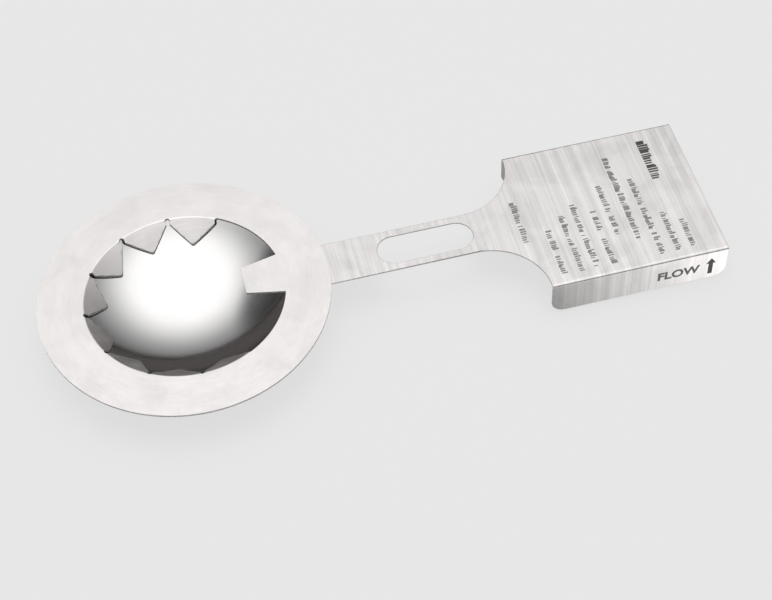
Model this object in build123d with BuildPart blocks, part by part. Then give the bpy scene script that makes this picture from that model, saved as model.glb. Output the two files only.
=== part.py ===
"""Reverse-acting rupture disc with a toothed ring and a folded flow tag.

Three pieces of sheet metal are tack-welded into one assembly:

- rupture_dome: a thin membrane, domed towards the process side, with a flat flange;
- toothed_ring: a flat ring on the membrane's vent side. Its bent teeth follow the dome
  down and cut it open when it reverses, and its tongue is the tab that the petals
  hinge on;
- tag: one sheet that starts as a lug under the ring's rim, runs out as a slotted
  strap, and flares into a panel with both long sides folded down.

Frame: millimetres, +Z towards the vent side, +X along the strap to the tag.
The origin is on the disc's axis, where the ring lies on the membrane's flange.
"""

import os
from math import asin, atan2, degrees, hypot, sqrt

from build123d import *

# Toothed ring
ring_radius = 38.0
ring_bore_radius = 26.3
ring_sheet = 0.6

tooth_count = 8
toothed_arc = 240.0  # degrees, opposite the tongue
tooth_reach = 5.7  # from the bore to the tip, in plan
tooth_tip_width = 0.5
tooth_bend_radius = 0.15  # inside the bend, under the sheet
tooth_clearance = 0.25  # between a tooth's tip and the dome
relief_hole_radius = 0.7

tongue_length = 10.7
tongue_tip_width = 8.4
tongue_root_width = 13.0

# Membrane
membrane_sheet = 0.2
dome_radius = 37.4  # of the concave face
dome_setback = 0.6  # from the ring's bore out to the dome's mouth
dome_edge_radius = 0.6  # inside the bend, between the dome and its flange
weld_land = 3.0  # the ring's rim outside the membrane's flange

# Tag
tag_sheet = 0.5
lug_clearance = 0.3  # between the membrane's flange and the lug
strap_width = 13.4
strap_length = 54.0  # from the ring's rim to the panel
slot_distance = 13.4  # from the ring's rim to the slot
slot_length = 25.8
slot_rail = 2.15  # left on each side of the slot
panel_length = 48.0
panel_width = 46.6
side_depth = 10.6
side_bend_radius = 0.4  # inside the fold
side_corner_radius = 3.8

# The membrane's form
dome_mouth_radius = ring_bore_radius + dome_setback
dome_centre_height = sqrt(dome_radius**2 - dome_mouth_radius**2)
dome_back_radius = dome_radius + membrane_sheet
dome_back_mouth = sqrt(dome_back_radius**2 - (dome_centre_height + membrane_sheet) ** 2)
flange_radius = ring_radius - weld_land

# The teeth's slope: the underside leaves its bend and just clears the dome at the tip
tooth_tip_radius = ring_bore_radius - tooth_reach
tooth_tip_drop = sqrt(dome_radius**2 - tooth_tip_radius**2) - dome_centre_height
slope_drop = tooth_tip_drop - tooth_clearance - tooth_bend_radius
slope_length = hypot(tooth_reach, slope_drop)
tooth_slope = degrees(atan2(slope_drop, tooth_reach) + asin(tooth_bend_radius / slope_length))
tooth_step = toothed_arc / tooth_count
first_relief_angle = 180 - toothed_arc / 2
relief_hole_centre = ring_bore_radius - relief_hole_radius

# The tag's stations along the strap
panel_start = ring_radius + strap_length
slot_centre = ring_radius + slot_distance + slot_length / 2
slot_width = strap_width - 2 * slot_rail
side_fold_radius = side_bend_radius + tag_sheet
flare_end = panel_width / 2 - side_fold_radius  # half the panel's flat width
flare_radius = flare_end - strap_width / 2
flare_start = panel_start - flare_radius
lug_radius = flange_radius + lug_clearance


os.makedirs("parts", exist_ok=True)

with BuildPart() as rupture_dome:
    with BuildSketch(Plane.XZ) as membrane_section:
        with BuildLine():
            concave = ThreePointArc(
                (0, dome_centre_height - dome_radius),
                (tooth_tip_radius, -tooth_tip_drop),
                (dome_mouth_radius, 0),
            )
            convex = RadiusArc(
                (dome_back_mouth, -membrane_sheet),
                (0, dome_centre_height - dome_back_radius),
                dome_back_radius,
            )
            Polyline(
                concave @ 1,
                (flange_radius, 0),
                (flange_radius, -membrane_sheet),
                convex @ 0,
            )
            Line(convex @ 1, concave @ 0)
        make_face()
        vent_side, process_side = vertices().group_by(Axis.Y)[:-3:-1]
        fillet(vent_side.sort_by(Axis.X)[0], radius=dome_edge_radius + membrane_sheet)
        fillet(process_side.sort_by(Axis.X)[0], radius=dome_edge_radius)
    revolve(axis=Axis.Z)

rupture_dome.part.label = "rupture_dome"
export_step(rupture_dome.part, "parts/rupture_dome.step")

with BuildPart() as toothed_ring:
    # A cone of bent sheet, from which the plan of the teeth is kept
    with BuildSketch(Plane.XZ) as bent_section:
        with BuildLine():
            bend_centre = (ring_bore_radius, -tooth_bend_radius)
            upper_bend = CenterArc(bend_centre, tooth_bend_radius + ring_sheet, 90, tooth_slope)
            lower_bend = CenterArc(bend_centre, tooth_bend_radius, 90, tooth_slope)
            upper_slope = Line(
                upper_bend @ 1, upper_bend @ 1 + (upper_bend % 1) * slope_length
            )
            lower_slope = Line(
                lower_bend @ 1, lower_bend @ 1 + (lower_bend % 1) * slope_length
            )
            Line(upper_bend @ 0, lower_bend @ 0)
            Line(upper_slope @ 1, lower_slope @ 1)
        make_face()
    revolve(axis=Axis.Z)
    with BuildSketch(Plane.XY.offset(ring_sheet)) as teeth_plan:
        root = Vector(relief_hole_centre, 0)
        outer = Vector(ring_radius, 0)
        with PolarLocations(
            0,
            tooth_count,
            start_angle=first_relief_angle + tooth_step / 2,
            angular_range=toothed_arc,
        ):
            Polygon(
                outer.rotate(Axis.Z, -tooth_step / 2),
                root.rotate(Axis.Z, -tooth_step / 2),
                (tooth_tip_radius, -tooth_tip_width / 2),
                (tooth_tip_radius, tooth_tip_width / 2),
                root.rotate(Axis.Z, tooth_step / 2),
                outer.rotate(Axis.Z, tooth_step / 2),
                align=None,
            )
    extrude(amount=-2 * ring_radius, mode=Mode.INTERSECT)

    # The flat ring with its tongue
    with BuildSketch() as flat_ring:
        Circle(ring_radius)
        Circle(ring_bore_radius, mode=Mode.SUBTRACT)
        with BuildLine():
            tongue_tip = ring_bore_radius - tongue_length
            Polyline(
                (ring_bore_radius, -tongue_root_width / 2),
                (tongue_tip, -tongue_tip_width / 2),
                (tongue_tip, tongue_tip_width / 2),
                (ring_bore_radius, tongue_root_width / 2),
                close=True,
            )
        make_face()
    extrude(amount=ring_sheet)

    # Relief holes at the roots of the teeth
    with BuildSketch(Plane.XY.offset(ring_sheet)):
        with PolarLocations(
            relief_hole_centre,
            tooth_count + 1,
            start_angle=first_relief_angle,
            angular_range=toothed_arc,
            endpoint=True,
        ):
            Circle(relief_hole_radius)
    extrude(amount=-ring_radius, mode=Mode.SUBTRACT)

toothed_ring.part.label = "toothed_ring"
export_step(toothed_ring.part, "parts/toothed_ring.step")

with BuildPart() as tag:
    # The panel and its folded sides, as one channel
    with BuildSketch(Plane.YZ.offset(panel_start)) as channel:
        Rectangle(panel_width, side_depth, align=(Align.CENTER, Align.MAX))
        with Locations((0, -tag_sheet)):
            Rectangle(
                panel_width - 2 * tag_sheet,
                side_depth,
                align=(Align.CENTER, Align.MAX),
                mode=Mode.SUBTRACT,
            )
        outside, inside = vertices().group_by(Axis.Y)[:-3:-1]
        fillet(outside, radius=side_fold_radius)
        fillet(inside, radius=side_bend_radius)
    extrude(amount=panel_length)
    fillet(edges().filter_by(Axis.Y).group_by(Axis.Z)[0], radius=side_corner_radius)

    # The flat lug, strap and flare
    with BuildSketch(Plane.XY.offset(-tag_sheet)) as strap:
        with BuildLine():
            flare = CenterArc((flare_start, -flare_end), flare_radius, 90, -90)
            Polyline(
                flare @ 0,
                (flange_radius, -strap_width / 2),
                (flange_radius, 0),
                (panel_start, 0),
                flare @ 1,
            )
        make_face()
        mirror(about=Plane.XZ)
        Circle(lug_radius, mode=Mode.SUBTRACT)
        with Locations((slot_centre, 0)):
            SlotOverall(slot_length, slot_width, mode=Mode.SUBTRACT)
    extrude(amount=tag_sheet)

tag.part.label = "tag"
export_step(tag.part, "parts/tag.step")
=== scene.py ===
"""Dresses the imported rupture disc: sheet-metal finishes, tack welds, print and stage."""

from math import cos, pi, radians, sin

import bmesh
import bpy
from bpy.props import (
    FloatProperty,
    FloatVectorProperty,
    IntProperty,
    PointerProperty,
    StringProperty,
)
from mathutils import Matrix, Vector


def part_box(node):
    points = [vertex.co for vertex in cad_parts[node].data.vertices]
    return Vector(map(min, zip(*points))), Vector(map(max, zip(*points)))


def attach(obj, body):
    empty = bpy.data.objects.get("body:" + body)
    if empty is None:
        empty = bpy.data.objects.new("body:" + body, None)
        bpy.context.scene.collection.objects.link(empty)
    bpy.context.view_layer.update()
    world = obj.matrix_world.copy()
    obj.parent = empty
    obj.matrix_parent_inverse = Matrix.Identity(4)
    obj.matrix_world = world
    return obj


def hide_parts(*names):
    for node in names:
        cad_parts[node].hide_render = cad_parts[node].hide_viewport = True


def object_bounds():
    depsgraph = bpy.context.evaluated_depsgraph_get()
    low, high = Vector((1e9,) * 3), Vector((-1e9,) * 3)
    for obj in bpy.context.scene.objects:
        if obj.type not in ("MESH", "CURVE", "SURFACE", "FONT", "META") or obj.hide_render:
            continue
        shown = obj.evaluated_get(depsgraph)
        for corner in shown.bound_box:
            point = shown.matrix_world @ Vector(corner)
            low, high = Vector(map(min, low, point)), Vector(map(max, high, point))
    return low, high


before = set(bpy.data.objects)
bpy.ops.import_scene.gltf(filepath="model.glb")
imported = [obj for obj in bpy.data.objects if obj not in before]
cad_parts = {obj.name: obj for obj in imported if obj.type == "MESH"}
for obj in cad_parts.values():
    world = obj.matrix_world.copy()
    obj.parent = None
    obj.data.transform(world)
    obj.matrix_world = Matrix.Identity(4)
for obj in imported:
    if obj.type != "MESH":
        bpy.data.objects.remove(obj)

bl_info = {
    "name": "Rupture disc",
    "version": (1, 0, 0),
    "blender": (4, 5, 0),
    "location": "3D View > Sidebar > Rupture disc",
    "description": "Finishes, tack welds, print and stage for a toothed rupture disc",
    "category": "Object",
}

MM = 0.001
CAD_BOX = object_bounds()
RING_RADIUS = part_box("toothed_ring")[1].x
TAG_LOW, TAG_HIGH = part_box("tag")
FLANGE_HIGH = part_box("rupture_dome")[1]

MEMBRANE_SHEET = 0.2 * MM
TAG_SHEET = 0.5 * MM

# What tells a sheared face, by its middle and its normal
STRAP_REACH = RING_RADIUS / 4  # past half the strap's width, short of the panel's sides
SIDE_TOP = -1 * MM  # the tag is only its folded sides below this
UPRIGHT = 0.3  # a face is upright where its normal rises less
IN_SIDE = 0.9  # a face lies along a folded side where its normal's y is more
SQUARE_TO_SIDE = 0.1  # a face is square to a folded side where its normal's y is less

# The flow tag's panel, measured from the tag's own box
PANEL_LENGTH = 48 * MM
PANEL_START = TAG_HIGH.x - PANEL_LENGTH
SIDE_FACE = TAG_LOW.y

# Lines of print on the panel, which run across it, in millimetres:
# (distance along the panel, from y, to y)
PRINT_LINES = (
    (-2.2, 6.8, -6.9),
    (4.2, -5.2, -19.5),
    (9.0, -1.0, -19.9),
    (13.0, 1.8, -19.4),
    (17.6, -1.9, -8.1),
    (17.6, -11.0, -19.8),
    (21.8, 6.1, -10.7),
    (26.5, 15.3, -13.5),
    (30.8, 6.1, -20.1),
    (35.2, -6.9, -20.0),
    (39.4, -10.7, -19.6),
)
HEADING_LINES = ((37.9, 18.6, 5.1),)
HEADING_SPREAD = 1.2  # the heading's pitch, over the fine print's
MARK_SHARE = 0.8  # of the pitch, which leaves a space between two marks
LETTER_WEIGHT = 0.05  # how far the letters are thickened, over their height
CAP_SHARE = 0.7  # a capital's height, over the font's size

DARKEST_BAND = 0.55  # the colour of a sheet's darkest bands, over its own

# The sky's brightness, by the sine of its direction's height above the horizon
SKY_LEVELS = (
    (0.0, 0.075),
    (0.1, 0.12),
    (0.26, 0.205),
    (0.45, 0.39),
    (0.57, 0.58),
    (0.7, 0.86),
    (0.8, 1.1),
    (0.9, 1.2),
    (1.0, 1.25),
)
SKY_AXIS = Vector((0, 0.01, 1))  # leans a little to the far side
ONE_BOUNCE = 1.5  # a ray's glossy depth is more than this from its second bounce on
REPEATED_LIGHT = (0.088, 0.083, 0.081)  # the sky, once two surfaces have mirrored it
BACKDROP = (0.8, 0.8, 0.8)  # the sky as the camera sees it
FLAG_EDGE = (0.84, 0.96)  # cosines of the angles where the flag's soft edge starts and ends
FLOOR_REACH = 3.0
SOFTBOX_PLACE = (0.05, 0.05, 0.9)
SOFTBOX_SIZE = 0.6


# ---------------------------------------------------------------- settings


def color_setting(name, description, default):
    """A reflectance."""
    return FloatVectorProperty(
        name=name,
        description=description,
        subtype="COLOR",
        size=3,
        min=0,
        max=1,
        default=default,
    )


def length_setting(name, description, millimetres):
    """A length, given in millimetres and kept in metres."""
    return FloatProperty(
        name=name,
        description=description,
        subtype="DISTANCE",
        min=0,
        default=millimetres * MM,
    )


def share_setting(name, description, default):
    """A share from 0 to 1."""
    return FloatProperty(
        name=name,
        description=description,
        subtype="FACTOR",
        min=0,
        max=1,
        default=default,
    )


def angle_setting(name, description, turn):
    """An angle, given in degrees and kept in radians."""
    return FloatProperty(
        name=name,
        description=description,
        subtype="ANGLE",
        default=radians(turn),
    )


class DISC_PG_finish(bpy.types.PropertyGroup):
    """Colours and finishes of the sheet metal and the ink."""

    ring_color: color_setting(
        "Ring colour", "Reflectance of the toothed ring's satin steel", (0.98, 0.945, 0.935)
    )
    tag_color: color_setting(
        "Tag colour", "Reflectance of the tag's brushed steel", (0.95, 0.925, 0.912)
    )
    dome_color: color_setting(
        "Dome colour", "Reflectance of the polished membrane", (0.90, 0.89, 0.885)
    )
    edge_color: color_setting(
        "Edge colour", "Reflectance of the sheared edges", (0.6, 0.585, 0.58)
    )
    edge_radius: length_setting("Edge radius", "Rounding of the stamped sheets' edges", 0.18)
    ink_color: color_setting(
        "Ink colour", "Colour of the etched lines of print", (0.15, 0.145, 0.14)
    )
    legend_color: color_setting(
        "Legend colour", "Colour of the flow legend's word", (0.09, 0.088, 0.086)
    )
    bold_color: color_setting(
        "Bold colour", "Colour of the arrow and of the heading's marks", (0.022, 0.022, 0.022)
    )


class DISC_PG_print(bpy.types.PropertyGroup):
    """Sizes of the print, the legend and the tack welds."""

    character_height: length_setting("Character height", "Height of a line of print", 1.75)
    character_pitch: length_setting(
        "Character pitch", "From one mark to the next along a line of print", 0.66
    )
    gap_share: share_setting("Gap share", "Share of the marks left out between words", 0.14)
    heading_height: length_setting(
        "Heading height", "Height of the bold marks in the heading's place", 2.9
    )
    ink_thickness: length_setting("Ink thickness", "How far the ink stands on the sheet", 0.02)
    legend_text: StringProperty(
        name="Legend", description="The plain word beside the arrow", default="FLOW"
    )
    legend_height: length_setting(
        "Legend height", "Cap height of the legend on the folded side", 2.85
    )
    legend_start: length_setting("Legend start", "From the panel's start to the legend", 28.7)
    legend_level: share_setting(
        "Legend level", "Share of the side's depth where the legend's middle lies", 0.55
    )
    arrow_place: length_setting(
        "Arrow place", "From the panel's start to the arrow's middle", 43.4
    )
    arrow_length: length_setting("Arrow length", "From the arrow's foot to its point", 6.2)
    arrow_head_length: length_setting("Arrowhead length", "Length of the arrow's head", 2.0)
    arrow_head_width: length_setting("Arrowhead width", "Width of the arrow's head", 2.7)
    arrow_stem_width: length_setting("Arrow stem", "Width of the arrow's stem", 1.24)
    weld_count: IntProperty(
        name="Tack welds",
        description="Tack welds round the membrane's flange",
        min=3,
        default=8,
    )
    weld_radius: length_setting("Weld radius", "Radius of one tack weld's nugget", 0.8)
    weld_height: length_setting("Weld height", "Height of one tack weld's nugget", 0.1)
    weld_sink: length_setting("Weld sink", "How deep a nugget's root lies in its sheet", 0.02)
    weld_inset: length_setting("Weld inset", "From the flange's rim to its tack welds", 2.5)
    lug_weld_spread: length_setting(
        "Lug weld spread", "From the strap's middle line to a weld on its lug", 3.6
    )
    seed: IntProperty(
        name="Seed",
        description="Chooses which marks are left out between words",
        default=7,
    )


class DISC_PG_stage(bpy.types.PropertyGroup):
    """Camera, floor and studio light."""

    target: FloatVectorProperty(
        name="Target",
        description="Point that the camera looks at",
        subtype="TRANSLATION",
        size=3,
        default=(49.69 * MM, -15.71 * MM, 0),
    )
    distance: length_setting("Distance", "From the camera to its target", 452.76)
    azimuth: angle_setting("Azimuth", "Turn of the camera round the disc", -11.77)
    elevation: angle_setting("Elevation", "Height of the camera above the horizon", 52.03)
    roll: angle_setting("Roll", "Roll of the camera about its own line of sight", -3.115)
    lens: FloatProperty(
        name="Focal length",
        description="Focal length in millimetres on a 36 mm wide sensor",
        default=82.45,
    )
    floor_color: color_setting("Floor colour", "Colour of the plain pale floor", (0.8, 0.8, 0.8))
    floor_glow: share_setting(
        "Floor glow", "Share of the floor that glows by itself, which softens the shadow", 0.85
    )
    # Painted reflection: the floor glows for glossy rays only, weaker at the panel's start and
    # stronger at its end, and the tag's metal mirrors that gradient
    painted_reflection_glow: FloatVectorProperty(
        name="Mirrored glow",
        description="Strength of the glow that metal mirrors, at the panel's start and end",
        size=2,
        min=0,
        default=(0.42, 1.8),
    )
    flag_side: FloatVectorProperty(
        name="Flag side",
        description="Direction of the dark flag that the dome mirrors beside the tongue",
        subtype="DIRECTION",
        size=3,
        default=(-0.75, 0.62, 0.2),
    )
    flag_level: share_setting(
        "Flag level", "Share of the sky's light that is left in front of the flag", 0.3
    )
    softbox_power: FloatProperty(
        name="Softbox power",
        description="Power of the round softbox overhead, in watts",
        min=0,
        default=2.0,
    )


class DISC_PG_settings(bpy.types.PropertyGroup):
    """All settings of the rupture disc."""

    finish: PointerProperty(type=DISC_PG_finish, name="Finish", description="Finishes")
    marks: PointerProperty(type=DISC_PG_print, name="Marks", description="Print and welds")
    stage: PointerProperty(type=DISC_PG_stage, name="Stage", description="Camera and light")


def settings():
    return bpy.context.scene.rupture_disc


# ---------------------------------------------------------------- node helpers


def add_node(tree, kind, inputs=None, **values):
    """A new node with its properties and unlinked inputs set."""
    node = tree.nodes.new(kind)
    for name, value in values.items():
        setattr(node, name, value)
    for name, value in (inputs or {}).items():
        node.inputs[name].default_value = value
    return node


def math_node(tree, operation, first, second):
    """A math node, whose operands are sockets or numbers."""
    node = add_node(tree, "ShaderNodeMath", operation=operation)
    for socket, value in zip(node.inputs, (first, second)):
        if isinstance(value, bpy.types.NodeSocket):
            tree.links.new(value, socket)
        else:
            socket.default_value = value
    return node.outputs[0]


def weighted_sum(tree, start, *terms):
    """A number plus every (socket, weight) term."""
    total = start
    for socket, weight in terms:
        total = math_node(tree, "ADD", math_node(tree, "MULTIPLY", socket, weight), total)
    return total


def soft_step(tree, value, start, end, low=0.0, high=1.0):
    """Runs smoothly from low to high while the value runs from start to end."""
    node = add_node(
        tree,
        "ShaderNodeMapRange",
        {"From Min": start, "From Max": end, "To Min": low, "To Max": high},
        interpolation_type="SMOOTHSTEP",
    )
    tree.links.new(value, node.inputs["Value"])
    return node.outputs["Result"]


def along(tree, direction, axis):
    """The cosine of the angle between a direction and an axis."""
    node = add_node(tree, "ShaderNodeVectorMath", operation="DOT_PRODUCT")
    node.inputs[1].default_value = axis.normalized()
    tree.links.new(direction, node.inputs[0])
    return node.outputs["Value"]


def mix_colors(tree, factor, first, second):
    """A mix of two colours, each a socket or a triple."""
    node = add_node(tree, "ShaderNodeMix", data_type="RGBA")
    tree.links.new(factor, node.inputs["Factor"])
    for name, color in (("A", first), ("B", second)):
        if isinstance(color, bpy.types.NodeSocket):
            tree.links.new(color, node.inputs[name])
        else:
            node.inputs[name].default_value = (*color, 1)
    return node.outputs["Result"]


def add_bump(tree, shader, height, strength, distance):
    """Relief on the shader's normal."""
    bump = add_node(tree, "ShaderNodeBump", {"Strength": strength, "Distance": distance})
    tree.links.new(height, bump.inputs["Height"])
    tree.links.new(bump.outputs["Normal"], shader.inputs["Normal"])


def new_group(name, kind, inputs, outputs):
    """An empty node group with its sockets: (name, type, default) in, (name, type) out."""
    tree = bpy.data.node_groups.new(name, kind)
    for socket_name, socket_type, default in inputs:
        socket = tree.interface.new_socket(
            socket_name, in_out="INPUT", socket_type=socket_type
        )
        if default is not None:
            socket.default_value = default
    for socket_name, socket_type in outputs:
        tree.interface.new_socket(socket_name, in_out="OUTPUT", socket_type=socket_type)
    return tree, tree.nodes.new("NodeGroupInput"), tree.nodes.new("NodeGroupOutput")


def new_material(name, values):
    """A material with these values on its shader, then its tree, shader and object place."""
    material = bpy.data.materials.new(name)
    material.use_nodes = True
    tree = material.node_tree
    shader = tree.nodes["Principled BSDF"]
    for socket, value in values.items():
        shader.inputs[socket].default_value = value
    place = add_node(tree, "ShaderNodeTexCoord").outputs["Object"]
    return material, tree, shader, place


# ---------------------------------------------------------------- shared effects


def brushed_grain_group():
    """Fine lines along one direction, and the broader bands that they gather into."""
    name = "brushed_grain"
    if name in bpy.data.node_groups:
        return bpy.data.node_groups[name]
    tree, ins, outs = new_group(
        name,
        "ShaderNodeTree",
        [
            ("Vector", "NodeSocketVector", None),
            ("Lines", "NodeSocketVector", (4000, 60, 4000)),
            ("Bands", "NodeSocketVector", (500, 8, 500)),
        ],
        [("Grain", "NodeSocketFloat"), ("Bands", "NodeSocketFloat")],
    )
    for scale, low, output in (("Lines", 0.1, "Grain"), ("Bands", 0.24, "Bands")):
        stretch = add_node(tree, "ShaderNodeVectorMath", operation="MULTIPLY")
        tree.links.new(ins.outputs["Vector"], stretch.inputs[0])
        tree.links.new(ins.outputs[scale], stretch.inputs[1])
        noise = add_node(
            tree, "ShaderNodeTexNoise", {"Scale": 1, "Detail": 3, "Roughness": 0.6}
        )
        tree.links.new(stretch.outputs[0], noise.inputs["Vector"])
        tree.links.new(soft_step(tree, noise.outputs["Fac"], low, 1 - low), outs.inputs[output])
    return tree


def handling_group():
    """Faint smudges and fine random scratches left by handling."""
    name = "handling_marks"
    if name in bpy.data.node_groups:
        return bpy.data.node_groups[name]
    tree, ins, outs = new_group(
        name,
        "ShaderNodeTree",
        [("Vector", "NodeSocketVector", None), ("Scale", "NodeSocketFloat", 90)],
        [("Smudge", "NodeSocketFloat"), ("Scratch", "NodeSocketFloat")],
    )
    links = tree.links
    smudge = add_node(
        tree, "ShaderNodeTexNoise", {"Detail": 5, "Roughness": 0.55, "Distortion": 0.6}
    )
    links.new(ins.outputs["Vector"], smudge.inputs["Vector"])
    links.new(ins.outputs["Scale"], smudge.inputs["Scale"])
    links.new(soft_step(tree, smudge.outputs["Fac"], 0.42, 0.68), outs.inputs["Smudge"])
    warp = add_node(tree, "ShaderNodeVectorMath", operation="MULTIPLY")
    warp.inputs[1].default_value = (1, 0.18, 1)
    links.new(ins.outputs["Vector"], warp.inputs[0])
    scratch = add_node(
        tree,
        "ShaderNodeTexVoronoi",
        {"Scale": 340, "Randomness": 1},
        feature="DISTANCE_TO_EDGE",
    )
    links.new(warp.outputs[0], scratch.inputs["Vector"])
    thin = add_node(
        tree, "ShaderNodeMapRange", {"From Max": 0.02, "To Min": 1, "To Max": 0}
    )
    links.new(scratch.outputs["Distance"], thin.inputs["Value"])
    links.new(thin.outputs["Result"], outs.inputs["Scratch"])
    return tree


def add_grain(tree, place, lines, bands):
    """The grain effect at this place, with its noise scales."""
    grain = add_node(tree, "ShaderNodeGroup", node_tree=brushed_grain_group())
    grain.inputs["Lines"].default_value = lines
    grain.inputs["Bands"].default_value = bands
    tree.links.new(place, grain.inputs["Vector"])
    return grain


def polar_place(tree, place):
    """A place whose first axis is the distance from the disc's axis."""
    flat = add_node(tree, "ShaderNodeVectorMath", operation="MULTIPLY")
    flat.inputs[1].default_value = (1, 1, 0)
    tree.links.new(place, flat.inputs[0])
    radius = add_node(tree, "ShaderNodeVectorMath", operation="LENGTH")
    tree.links.new(flat.outputs[0], radius.inputs[0])
    split = add_node(tree, "ShaderNodeSeparateXYZ")
    tree.links.new(place, split.inputs[0])
    join = add_node(tree, "ShaderNodeCombineXYZ")
    tree.links.new(radius.outputs["Value"], join.inputs["X"])
    tree.links.new(split.outputs["Y"], join.inputs["Y"])
    tree.links.new(split.outputs["X"], join.inputs["Z"])
    return join.outputs[0]


def sheet_material(name, color, roughness, lines, bands, contrast, bump, polar=False):
    """Steel sheet with grain, bands, smudges and scratches.

    lines and bands are the noise scales of the grain, contrast how far bands darken it,
    and polar turns the grain round the disc's axis.
    """
    material, tree, shader, place = new_material(name, {"Metallic": 1.0})
    grain = add_grain(tree, polar_place(tree, place) if polar else place, lines, bands)
    marks = add_node(tree, "ShaderNodeGroup", node_tree=handling_group())
    tree.links.new(place, marks.inputs["Vector"])
    fine, broad = grain.outputs["Grain"], grain.outputs["Bands"]
    smudge, scratch = marks.outputs["Smudge"], marks.outputs["Scratch"]

    shade = weighted_sum(
        tree, 0.0, (broad, contrast), (fine, contrast * 0.6), (smudge, contrast * 0.35)
    )
    darker = [DARKEST_BAND * part for part in color]
    tree.links.new(mix_colors(tree, shade, color, darker), shader.inputs["Base Color"])

    rough = weighted_sum(
        tree,
        roughness * 0.8,
        (fine, roughness * 0.35),
        (smudge, roughness * 0.18),
        (scratch, roughness * 0.2),
    )
    tree.links.new(rough, shader.inputs["Roughness"])
    relief = weighted_sum(tree, 0.0, (fine, 1.0), (scratch, -0.25))
    add_bump(tree, shader, relief, bump, 0.01 * MM)
    return material


def ring_steel():
    """Satin steel, with its grain in circles round the disc's axis."""
    return sheet_material(
        "ring_satin_steel",
        settings().finish.ring_color,
        roughness=0.42,
        lines=(2500, 240, 240),
        bands=(260, 40, 40),
        contrast=0.12,
        bump=0.25,
        polar=True,
    )


def tag_steel():
    """Steel brushed across the strap, from fold to fold."""
    return sheet_material(
        "tag_brushed_steel",
        settings().finish.tag_color,
        roughness=0.27,
        lines=(3200, 30, 30),
        bands=(520, 4, 4),
        contrast=0.47,
        bump=0.3,
    )


def dome_foil():
    """Polished foil with hardly any grain."""
    return sheet_material(
        "dome_polished_foil",
        settings().finish.dome_color,
        roughness=0.13,
        lines=(900, 900, 900),
        bands=(120, 120, 120),
        contrast=0.04,
        bump=0.05,
    )


def sheared_edge():
    """The sheets' cut edges: matt, darker, and torn across the sheet."""
    name = "sheared_edge"
    if name in bpy.data.materials:
        return bpy.data.materials[name]
    # Torn metal scatters light, so it is less than fully metallic
    material, tree, shader, place = new_material(name, {"Metallic": 0.6})
    grain = add_grain(tree, place, (2600, 2600, 300), (240, 240, 900))
    color = settings().finish.edge_color
    lighter = [1.3 * part for part in color]
    tint = mix_colors(tree, grain.outputs["Bands"], color, lighter)
    tree.links.new(tint, shader.inputs["Base Color"])
    rough = weighted_sum(tree, 0.38, (grain.outputs["Grain"], 0.2))
    tree.links.new(rough, shader.inputs["Roughness"])
    add_bump(tree, shader, grain.outputs["Grain"], 0.4, 0.01 * MM)
    return material


def weld_steel():
    """A tack weld's nugget: duller metal with a straw and grey heat tint."""
    material, tree, shader, place = new_material(
        "weld_heat_tint", {"Metallic": 1.0, "Roughness": 0.45}
    )
    noise = add_node(tree, "ShaderNodeTexNoise", {"Scale": 900, "Detail": 3})
    tree.links.new(place, noise.inputs["Vector"])
    tint = mix_colors(tree, noise.outputs["Fac"], (0.30, 0.27, 0.25), (0.62, 0.55, 0.45))
    tree.links.new(tint, shader.inputs["Base Color"])
    add_bump(tree, shader, noise.outputs["Fac"], 0.4, 0.02 * MM)
    return material


def ink(name, color):
    """Etched ink: matt, and worn thin in patches."""
    material, tree, shader, place = new_material(name, {"Roughness": 0.6})
    noise = add_node(tree, "ShaderNodeTexNoise", {"Scale": 700, "Detail": 4})
    tree.links.new(place, noise.inputs["Vector"])
    worn = [min(1, 1.8 * part + 0.05) for part in color]
    tint = mix_colors(tree, noise.outputs["Fac"], color, worn)
    tree.links.new(tint, shader.inputs["Base Color"])
    return material


# ---------------------------------------------------------------- geometry helpers


def new_piece(name, mesh):
    """A new object that holds this mesh, at the origin."""
    piece = bpy.data.objects.new(name, mesh)
    bpy.context.scene.collection.objects.link(piece)
    return piece


def set_material(piece, material):
    piece.data.materials.clear()
    piece.data.materials.append(material)


def plain_mesh(piece):
    """The evaluated piece, as a mesh of its own."""
    bpy.context.view_layer.update()
    evaluated = piece.evaluated_get(bpy.context.evaluated_depsgraph_get())
    return bpy.data.meshes.new_from_object(evaluated)


def apply_modifiers(piece):
    """Turns the evaluated piece into its plain mesh."""
    mesh = plain_mesh(piece)
    piece.modifiers.clear()
    piece.data = mesh


def eased_sheet(node_name, piece_name, material, is_cut):
    """A copy of a stamped sheet that stands for it, with its sharp edges eased.

    is_cut(normal, centre) tells the faces that the press sheared from the sheet's own faces.
    """
    mesh = bmesh.new()
    mesh.from_mesh(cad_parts[node_name].data)
    bmesh.ops.remove_doubles(mesh, verts=mesh.verts, dist=0.001 * MM)
    bmesh.ops.dissolve_limit(
        mesh, angle_limit=radians(0.05), verts=mesh.verts, edges=mesh.edges
    )
    for face in mesh.faces:
        face.smooth = True
        face.material_index = int(is_cut(face.normal, face.calc_center_median()))
    data = bpy.data.meshes.new(piece_name)
    mesh.to_mesh(data)
    mesh.free()
    data.materials.append(material)
    data.materials.append(sheared_edge())
    piece = new_piece(piece_name, data)
    ease = piece.modifiers.new("Eased edges", "BEVEL")
    ease.width = settings().finish.edge_radius
    ease.segments = 2
    ease.limit_method = "ANGLE"
    ease.angle_limit = radians(35)
    ease.material = 1
    shade = piece.modifiers.new("Flat faces stay flat", "WEIGHTED_NORMAL")
    shade.weight = 100
    apply_modifiers(piece)
    return piece


def cut_of_ring(normal, centre):
    """The ring is sheared straight down, so its cut faces stand upright."""
    return abs(normal.z) < UPRIGHT


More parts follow.
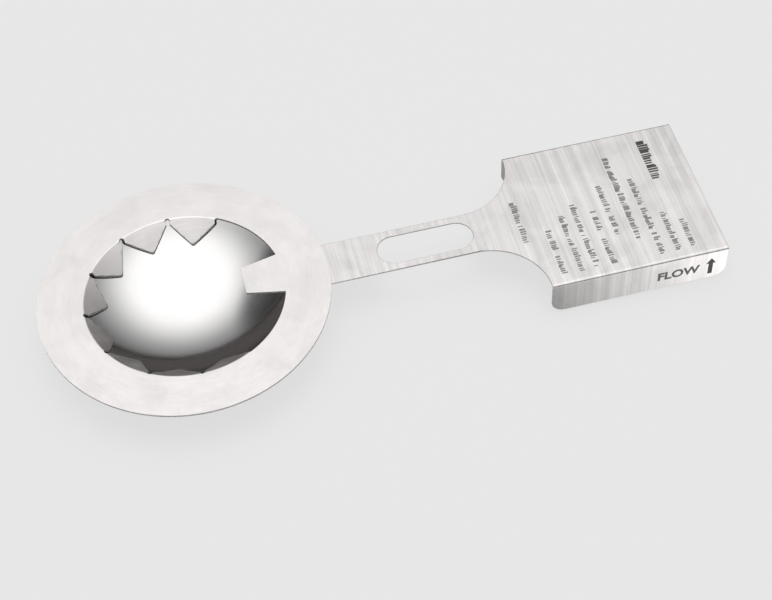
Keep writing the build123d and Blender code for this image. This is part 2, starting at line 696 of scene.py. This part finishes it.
def cut_of_tag(normal, centre):
    """The tag's cut faces: upright round the flat sheet, and square to the folded sides."""
    upright = abs(normal.z) < UPRIGHT
    on_strap = abs(centre.y) < STRAP_REACH
    side_end = centre.z < SIDE_TOP and abs(normal.y) < SQUARE_TO_SIDE
    return side_end or upright and (on_strap or abs(normal.y) < IN_SIDE)


# ---------------------------------------------------------------- repeated marks


def place_copies(tree, points, shape, outs, material, sizes=None):
    """Ends a tree: the shape on every point, as real geometry with its material."""
    links = tree.links
    copies = add_node(tree, "GeometryNodeInstanceOnPoints")
    links.new(points, copies.inputs["Points"])
    links.new(shape, copies.inputs["Instance"])
    if sizes is not None:
        links.new(sizes, copies.inputs["Scale"])
    real = add_node(tree, "GeometryNodeRealizeInstances")
    links.new(copies.outputs["Instances"], real.inputs["Geometry"])
    paint = add_node(tree, "GeometryNodeSetMaterial", {"Material": material})
    links.new(real.outputs["Geometry"], paint.inputs["Geometry"])
    links.new(paint.outputs["Geometry"], outs.inputs["Geometry"])


def marks_tree(name, mark_size, gap_share, material):
    """Geometry Nodes: short marks along every edge of a mesh, some left out as word gaps."""
    tree, ins, outs = new_group(
        name,
        "GeometryNodeTree",
        [
            ("Geometry", "NodeSocketGeometry", None),
            ("Pitch", "NodeSocketFloat", 1 * MM),
            ("Gap share", "NodeSocketFloat", gap_share),
            ("Mark size", "NodeSocketVector", mark_size),
            ("Smallest", "NodeSocketVector", (0.55, 0.45, 1)),
            ("Largest", "NodeSocketVector", (1.0, 1.3, 1)),
            ("Scatter", "NodeSocketVector", (0.3 * MM, 0.15 * MM, 0)),
            ("Seed", "NodeSocketInt", 0),
        ],
        [("Geometry", "NodeSocketGeometry")],
    )
    links = tree.links
    curve = add_node(tree, "GeometryNodeMeshToCurve")
    links.new(ins.outputs["Geometry"], curve.inputs["Mesh"])
    points = add_node(tree, "GeometryNodeCurveToPoints", mode="LENGTH")
    links.new(curve.outputs["Curve"], points.inputs["Curve"])
    links.new(ins.outputs["Pitch"], points.inputs["Length"])
    chance = add_node(tree, "FunctionNodeRandomValue", data_type="BOOLEAN")
    links.new(ins.outputs["Gap share"], chance.inputs["Probability"])
    links.new(ins.outputs["Seed"], chance.inputs["Seed"])
    thinned = add_node(tree, "GeometryNodeDeleteGeometry", domain="POINT")
    links.new(points.outputs["Points"], thinned.inputs["Geometry"])
    links.new(chance.outputs[3], thinned.inputs["Selection"])

    back = add_node(tree, "ShaderNodeVectorMath", {"Scale": -1}, operation="SCALE")
    links.new(ins.outputs["Scatter"], back.inputs[0])
    shift = add_node(tree, "FunctionNodeRandomValue", data_type="FLOAT_VECTOR")
    links.new(back.outputs[0], shift.inputs[0])
    links.new(ins.outputs["Scatter"], shift.inputs[1])
    links.new(ins.outputs["Seed"], shift.inputs["Seed"])
    moved = add_node(tree, "GeometryNodeSetPosition")
    links.new(thinned.outputs["Geometry"], moved.inputs["Geometry"])
    links.new(shift.outputs[0], moved.inputs["Offset"])

    mark = add_node(tree, "GeometryNodeMeshCube")
    links.new(ins.outputs["Mark size"], mark.inputs["Size"])
    size = add_node(tree, "FunctionNodeRandomValue", data_type="FLOAT_VECTOR")
    links.new(ins.outputs["Smallest"], size.inputs[0])
    links.new(ins.outputs["Largest"], size.inputs[1])
    links.new(ins.outputs["Seed"], size.inputs["Seed"])
    place_copies(
        tree,
        moved.outputs["Geometry"],
        mark.outputs["Mesh"],
        outs,
        material,
        size.outputs[0],
    )
    return tree


def welds_tree(name, radius, height, material):
    """Geometry Nodes: a low nugget on every point of a mesh, narrower at its lower end."""
    tree, ins, outs = new_group(
        name,
        "GeometryNodeTree",
        [
            ("Geometry", "NodeSocketGeometry", None),
            ("Radius", "NodeSocketFloat", radius),
            ("Height", "NodeSocketFloat", height),
            ("Foot share", "NodeSocketFloat", 0.6),
        ],
        [("Geometry", "NodeSocketGeometry")],
    )
    links = tree.links
    nugget = add_node(tree, "GeometryNodeMeshCone", {"Vertices": 20})
    foot = math_node(tree, "MULTIPLY", ins.outputs["Radius"], ins.outputs["Foot share"])
    links.new(foot, nugget.inputs["Radius Bottom"])
    links.new(ins.outputs["Radius"], nugget.inputs["Radius Top"])
    links.new(ins.outputs["Height"], nugget.inputs["Depth"])
    points = add_node(tree, "GeometryNodeMeshToPoints")
    links.new(ins.outputs["Geometry"], points.inputs["Mesh"])
    place_copies(tree, points.outputs["Points"], nugget.outputs["Mesh"], outs, material)
    return tree


def run_tree(piece, tree, values):
    """Runs a Geometry Nodes tree on the piece, with these inputs, and keeps the plain mesh."""
    modifier = piece.modifiers.new(tree.name, "NODES")
    modifier.node_group = tree
    for item in tree.interface.items_tree:
        if item.item_type == "SOCKET" and item.in_out == "INPUT" and item.name in values:
            modifier[item.identifier] = values[item.name]
    apply_modifiers(piece)


def print_lines(name, lines, height, pitch, gap_share, material):
    """Lines of generic marks on the panel's top face."""
    marks = settings().marks
    level = marks.ink_thickness / 2
    ends = [
        (PANEL_START + x * MM, y * MM, level) for x, first, last in lines for y in (first, last)
    ]
    mesh = bpy.data.meshes.new(name)
    mesh.from_pydata(ends, [(k, k + 1) for k in range(0, len(ends), 2)], [])
    piece = new_piece(name, mesh)
    mark_size = (height, pitch * MARK_SHARE, marks.ink_thickness)
    tree = marks_tree(name + "_marks", mark_size, gap_share, material)
    run_tree(piece, tree, {"Pitch": pitch, "Seed": marks.seed})
    return piece


# ---------------------------------------------------------------- operators


class DISC_OT_ring(bpy.types.Operator):
    """Satin steel with eased edges for the toothed ring"""

    bl_idname = "disc.ring"
    bl_label = "Toothed ring"

    def execute(self, context):
        piece = eased_sheet("toothed_ring", "toothed_ring_sheet", ring_steel(), cut_of_ring)
        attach(piece, "root")
        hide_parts("toothed_ring")
        return {"FINISHED"}


class DISC_OT_dome(bpy.types.Operator):
    """Polished foil for the domed membrane"""

    bl_idname = "disc.dome"
    bl_label = "Domed membrane"

    def execute(self, context):
        set_material(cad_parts["rupture_dome"], dome_foil())
        return {"FINISHED"}


class DISC_OT_tag(bpy.types.Operator):
    """Brushed steel with eased edges for the strap and the folded tag"""

    bl_idname = "disc.tag"
    bl_label = "Flow tag"

    def execute(self, context):
        piece = eased_sheet("tag", "tag_sheet", tag_steel(), cut_of_tag)
        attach(piece, "root")
        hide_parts("tag")
        return {"FINISHED"}


class DISC_OT_print(bpy.types.Operator):
    """Lines of generic marks on the tag's panel"""

    bl_idname = "disc.print_lines"
    bl_label = "Print"

    def execute(self, context):
        marks = settings().marks
        finish = settings().finish
        fine = print_lines(
            "print_lines",
            PRINT_LINES,
            marks.character_height,
            marks.character_pitch,
            marks.gap_share,
            ink("etched_ink", finish.ink_color),
        )
        bold = print_lines(
            "heading_bar",
            HEADING_LINES,
            marks.heading_height,
            marks.character_pitch * HEADING_SPREAD,
            0.0,
            ink("heading_ink", finish.bold_color),
        )
        for piece in (fine, bold):
            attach(piece, "root")
        return {"FINISHED"}


class DISC_OT_legend(bpy.types.Operator):
    """A plain flow legend and arrow on the tag's folded side"""

    bl_idname = "disc.legend"
    bl_label = "Flow legend"

    def execute(self, context):
        marks = settings().marks
        finish = settings().finish
        middle = TAG_LOW.z * marks.legend_level
        inks = (ink("legend_ink", finish.legend_color), ink("arrow_ink", finish.bold_color))
        for piece, material in zip((self.word(marks, middle), self.arrow(marks, middle)), inks):
            set_material(piece, material)
            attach(piece, "root")
        return {"FINISHED"}

    def word(self, marks, middle):
        """The legend's letters, as thin solids on the folded side."""
        text = bpy.data.curves.new("flow_word", "FONT")
        text.body = marks.legend_text
        text.size = marks.legend_height / CAP_SHARE
        text.offset = marks.legend_height * LETTER_WEIGHT
        text.extrude = marks.ink_thickness
        text.resolution_u = 4
        carrier = new_piece("flow_word_text", text)
        mesh = plain_mesh(carrier)
        bpy.data.objects.remove(carrier)
        x = PANEL_START + marks.legend_start
        start = Vector((x, SIDE_FACE, middle - marks.legend_height / 2))
        mesh.transform(Matrix.Translation(start) @ Matrix.Rotation(pi / 2, 4, "X"))
        return new_piece("flow_word", mesh)

    def arrow(self, marks, middle):
        """An arrow that points to the vent side."""
        half = marks.arrow_length / 2
        stem = marks.arrow_stem_width / 2
        head = marks.arrow_head_width / 2
        neck = half - marks.arrow_head_length
        outline = [
            (-stem, -half),
            (stem, -half),
            (stem, neck),
            (head, neck),
            (0, half),
            (-head, neck),
            (-stem, neck),
        ]
        x = PANEL_START + marks.arrow_place
        y = SIDE_FACE - marks.ink_thickness
        shape = bmesh.new()
        face = shape.faces.new([shape.verts.new((x + u, y, middle + v)) for u, v in outline])
        solid = bmesh.ops.extrude_face_region(shape, geom=[face])
        moved = [v for v in solid["geom"] if isinstance(v, bmesh.types.BMVert)]
        bmesh.ops.translate(shape, verts=moved, vec=(0, 2 * marks.ink_thickness, 0))
        bmesh.ops.recalc_face_normals(shape, faces=shape.faces)
        mesh = bpy.data.meshes.new("flow_arrow")
        shape.to_mesh(mesh)
        shape.free()
        return new_piece("flow_arrow", mesh)


class DISC_OT_welds(bpy.types.Operator):
    """Tack welds under the membrane's flange and under the strap's lug"""

    bl_idname = "disc.tack_welds"
    bl_label = "Tack welds"

    def execute(self, context):
        marks = settings().marks
        circle = FLANGE_HIGH.x - marks.weld_inset
        root = marks.weld_sink - marks.weld_height
        turns = [2 * pi * (k + 0.5) / marks.weld_count for k in range(marks.weld_count)]
        flange_under = FLANGE_HIGH.z - MEMBRANE_SHEET
        points = [
            (circle * cos(turn), circle * sin(turn), flange_under + root) for turn in turns
        ]
        lug_middle = (TAG_LOW.x + RING_RADIUS) / 2
        points += [
            (lug_middle, side * marks.lug_weld_spread, root - TAG_SHEET) for side in (-1, 1)
        ]
        mesh = bpy.data.meshes.new("tack_welds")
        mesh.from_pydata(points, [], [])
        piece = new_piece("tack_welds", mesh)
        tree = welds_tree("weld_nuggets", marks.weld_radius, marks.weld_height, weld_steel())
        run_tree(piece, tree, {"Radius": marks.weld_radius, "Height": marks.weld_height})
        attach(piece, "root")
        return {"FINISHED"}


class DISC_OT_stage(bpy.types.Operator):
    """Camera, pale floor, studio sky and softbox"""

    bl_idname = "disc.stage"
    bl_label = "Stage"

    def execute(self, context):
        stage = settings().stage
        self.camera(stage)
        self.sky(stage)
        self.floor(stage)
        self.softbox(stage)
        context.scene.view_settings.view_transform = "Standard"
        return {"FINISHED"}

    def camera(self, stage):
        """A camera on a sphere round its target, with a little roll."""
        azimuth, elevation, roll = stage.azimuth, stage.elevation, stage.roll
        level = cos(elevation)
        back = Vector((sin(azimuth) * level, -cos(azimuth) * level, sin(elevation)))
        right = Vector((cos(azimuth), sin(azimuth), 0))
        up = right.cross(-back)
        turned_right = right * cos(roll) + up * sin(roll)
        turned_up = up * cos(roll) - right * sin(roll)
        data = bpy.data.cameras.new("camera")
        data.sensor_width = 36
        data.lens = stage.lens
        data.clip_start = 0.005
        camera = new_piece("camera", data)
        turn = Matrix((turned_right, turned_up, back)).transposed().to_4x4()
        place = Vector(stage.target) + back * stage.distance
        camera.matrix_world = Matrix.Translation(place) @ turn
        bpy.context.scene.camera = camera

    def sky(self, stage):
        """A studio sky that brightens smoothly from the horizon to overhead."""
        world = bpy.data.worlds.new("studio_sky")
        bpy.context.scene.world = world
        world.use_nodes = True
        world.cycles.sampling_method = "NONE"  # so that repeated reflections dim evenly
        tree = world.node_tree
        tree.nodes.clear()
        direction = add_node(tree, "ShaderNodeTexCoord").outputs["Generated"]

        ramp = add_node(tree, "ShaderNodeValToRGB")
        elements = ramp.color_ramp.elements
        while len(elements) < len(SKY_LEVELS):
            elements.new(0.5)
        for element, (height, level) in zip(elements, SKY_LEVELS):
            element.position = height
            element.color = (level, level, level, 1)
        tree.links.new(along(tree, direction, SKY_AXIS), ramp.inputs["Fac"])

        toward_flag = along(tree, direction, Vector(stage.flag_side))
        flagged = add_node(tree, "ShaderNodeVectorMath", operation="SCALE")
        tree.links.new(ramp.outputs["Color"], flagged.inputs[0])
        share = soft_step(tree, toward_flag, *FLAG_EDGE, 1.0, stage.flag_level)
        tree.links.new(share, flagged.inputs["Scale"])

        rays = add_node(tree, "ShaderNodeLightPath")
        repeated = math_node(tree, "GREATER_THAN", rays.outputs["Glossy Depth"], ONE_BOUNCE)
        dimmed = mix_colors(tree, repeated, flagged.outputs[0], REPEATED_LIGHT)
        color = mix_colors(tree, rays.outputs["Is Camera Ray"], dimmed, BACKDROP)
        glow = add_node(tree, "ShaderNodeBackground")
        tree.links.new(color, glow.inputs["Color"])
        output = add_node(tree, "ShaderNodeOutputWorld")
        tree.links.new(glow.outputs[0], output.inputs["Surface"])

    def floor(self, stage):
        """A wide pale floor just under the object's lowest point, whose own glow softens the
        object's shadow and paints a reflection gradient on the metal.
        """
        reach = FLOOR_REACH
        level = CAD_BOX[0][2]
        corners = [(-reach, -reach), (reach, -reach), (reach, reach), (-reach, reach)]
        mesh = bpy.data.meshes.new("floor")
        mesh.from_pydata([(x, y, level) for x, y in corners], [], [(0, 1, 2, 3)])
        floor = new_piece("floor", mesh)
        material, tree, shader, place = new_material(
            "pale_floor",
            {
                "Base Color": (*stage.floor_color, 1),
                "Roughness": 0.9,
                "Specular IOR Level": 0.0,
            },
        )
        links = tree.links
        rays = add_node(tree, "ShaderNodeLightPath").outputs

        # Painted reflection: for glossy rays the floor glows more towards the panel's end, so
        # the metal mirrors a painted gradient; camera rays see an even glow
        split = add_node(tree, "ShaderNodeSeparateXYZ")
        links.new(place, split.inputs[0])
        across = add_node(
            tree,
            "ShaderNodeMapRange",
            {
                "From Min": PANEL_START,
                "From Max": TAG_HIGH.x,
                "To Min": stage.painted_reflection_glow[0],
                "To Max": stage.painted_reflection_glow[1],
            },
        )
        links.new(split.outputs["X"], across.inputs["Value"])
        strength = add_node(tree, "ShaderNodeMix")
        strength.inputs["B"].default_value = 1.0
        links.new(rays["Is Camera Ray"], strength.inputs["Factor"])
        links.new(across.outputs["Result"], strength.inputs["A"])
        # The floor's own glow, which is painted light: even for camera rays, and a painted
        # reflection gradient for glossy rays
        floor_painted_glow = add_node(tree, "ShaderNodeEmission", {"Color": (*stage.floor_color, 1)})
        links.new(strength.outputs["Result"], floor_painted_glow.inputs["Strength"])

        seen = math_node(tree, "MAXIMUM", rays["Is Camera Ray"], rays["Is Glossy Ray"])
        mix = add_node(tree, "ShaderNodeMixShader")
        links.new(math_node(tree, "MULTIPLY", seen, stage.floor_glow), mix.inputs["Fac"])
        links.new(shader.outputs["BSDF"], mix.inputs[1])
        links.new(floor_painted_glow.outputs["Emission"], mix.inputs[2])
        links.new(mix.outputs["Shader"], tree.nodes["Material Output"].inputs["Surface"])
        set_material(floor, material)

    def softbox(self, stage):
        """One round softbox overhead, which the metal doesn't mirror."""
        data = bpy.data.lights.new("softbox", "AREA")
        data.shape = "DISK"
        data.size = SOFTBOX_SIZE
        data.energy = stage.softbox_power
        lamp = new_piece("softbox", data)
        lamp.location = SOFTBOX_PLACE
        lamp.visible_glossy = False


class DISC_PT_panel(bpy.types.Panel):
    """The rupture disc's pieces and settings"""

    bl_idname = "DISC_PT_panel"
    bl_label = "Rupture disc"
    bl_space_type = "VIEW_3D"
    bl_region_type = "UI"
    bl_category = "Rupture disc"

    def draw(self, context):
        for step in STEPS:
            self.layout.operator(step.bl_idname, text=step.bl_label)
        for group in (settings().finish, settings().marks, settings().stage):
            box = self.layout.box()
            for name in group.bl_rna.properties.keys():
                if name not in ("rna_type", "name"):
                    box.prop(group, name)


STEPS = (
    DISC_OT_ring,
    DISC_OT_dome,
    DISC_OT_tag,
    DISC_OT_print,
    DISC_OT_legend,
    DISC_OT_welds,
    DISC_OT_stage,
)
CLASSES = (
    DISC_PG_finish,
    DISC_PG_print,
    DISC_PG_stage,
    DISC_PG_settings,
    *STEPS,
    DISC_PT_panel,
)


def register():
    for item in CLASSES:
        bpy.utils.register_class(item)
    bpy.types.Scene.rupture_disc = PointerProperty(type=DISC_PG_settings)


def unregister():
    del bpy.types.Scene.rupture_disc
    for item in reversed(CLASSES):
        bpy.utils.unregister_class(item)


def main():
    register()
    bpy.ops.disc.ring()
    bpy.ops.disc.dome()
    bpy.ops.disc.tag()
    bpy.ops.disc.print_lines()
    bpy.ops.disc.legend()
    bpy.ops.disc.tack_welds()
    bpy.ops.disc.stage()


if __name__ == "__main__":
    main()
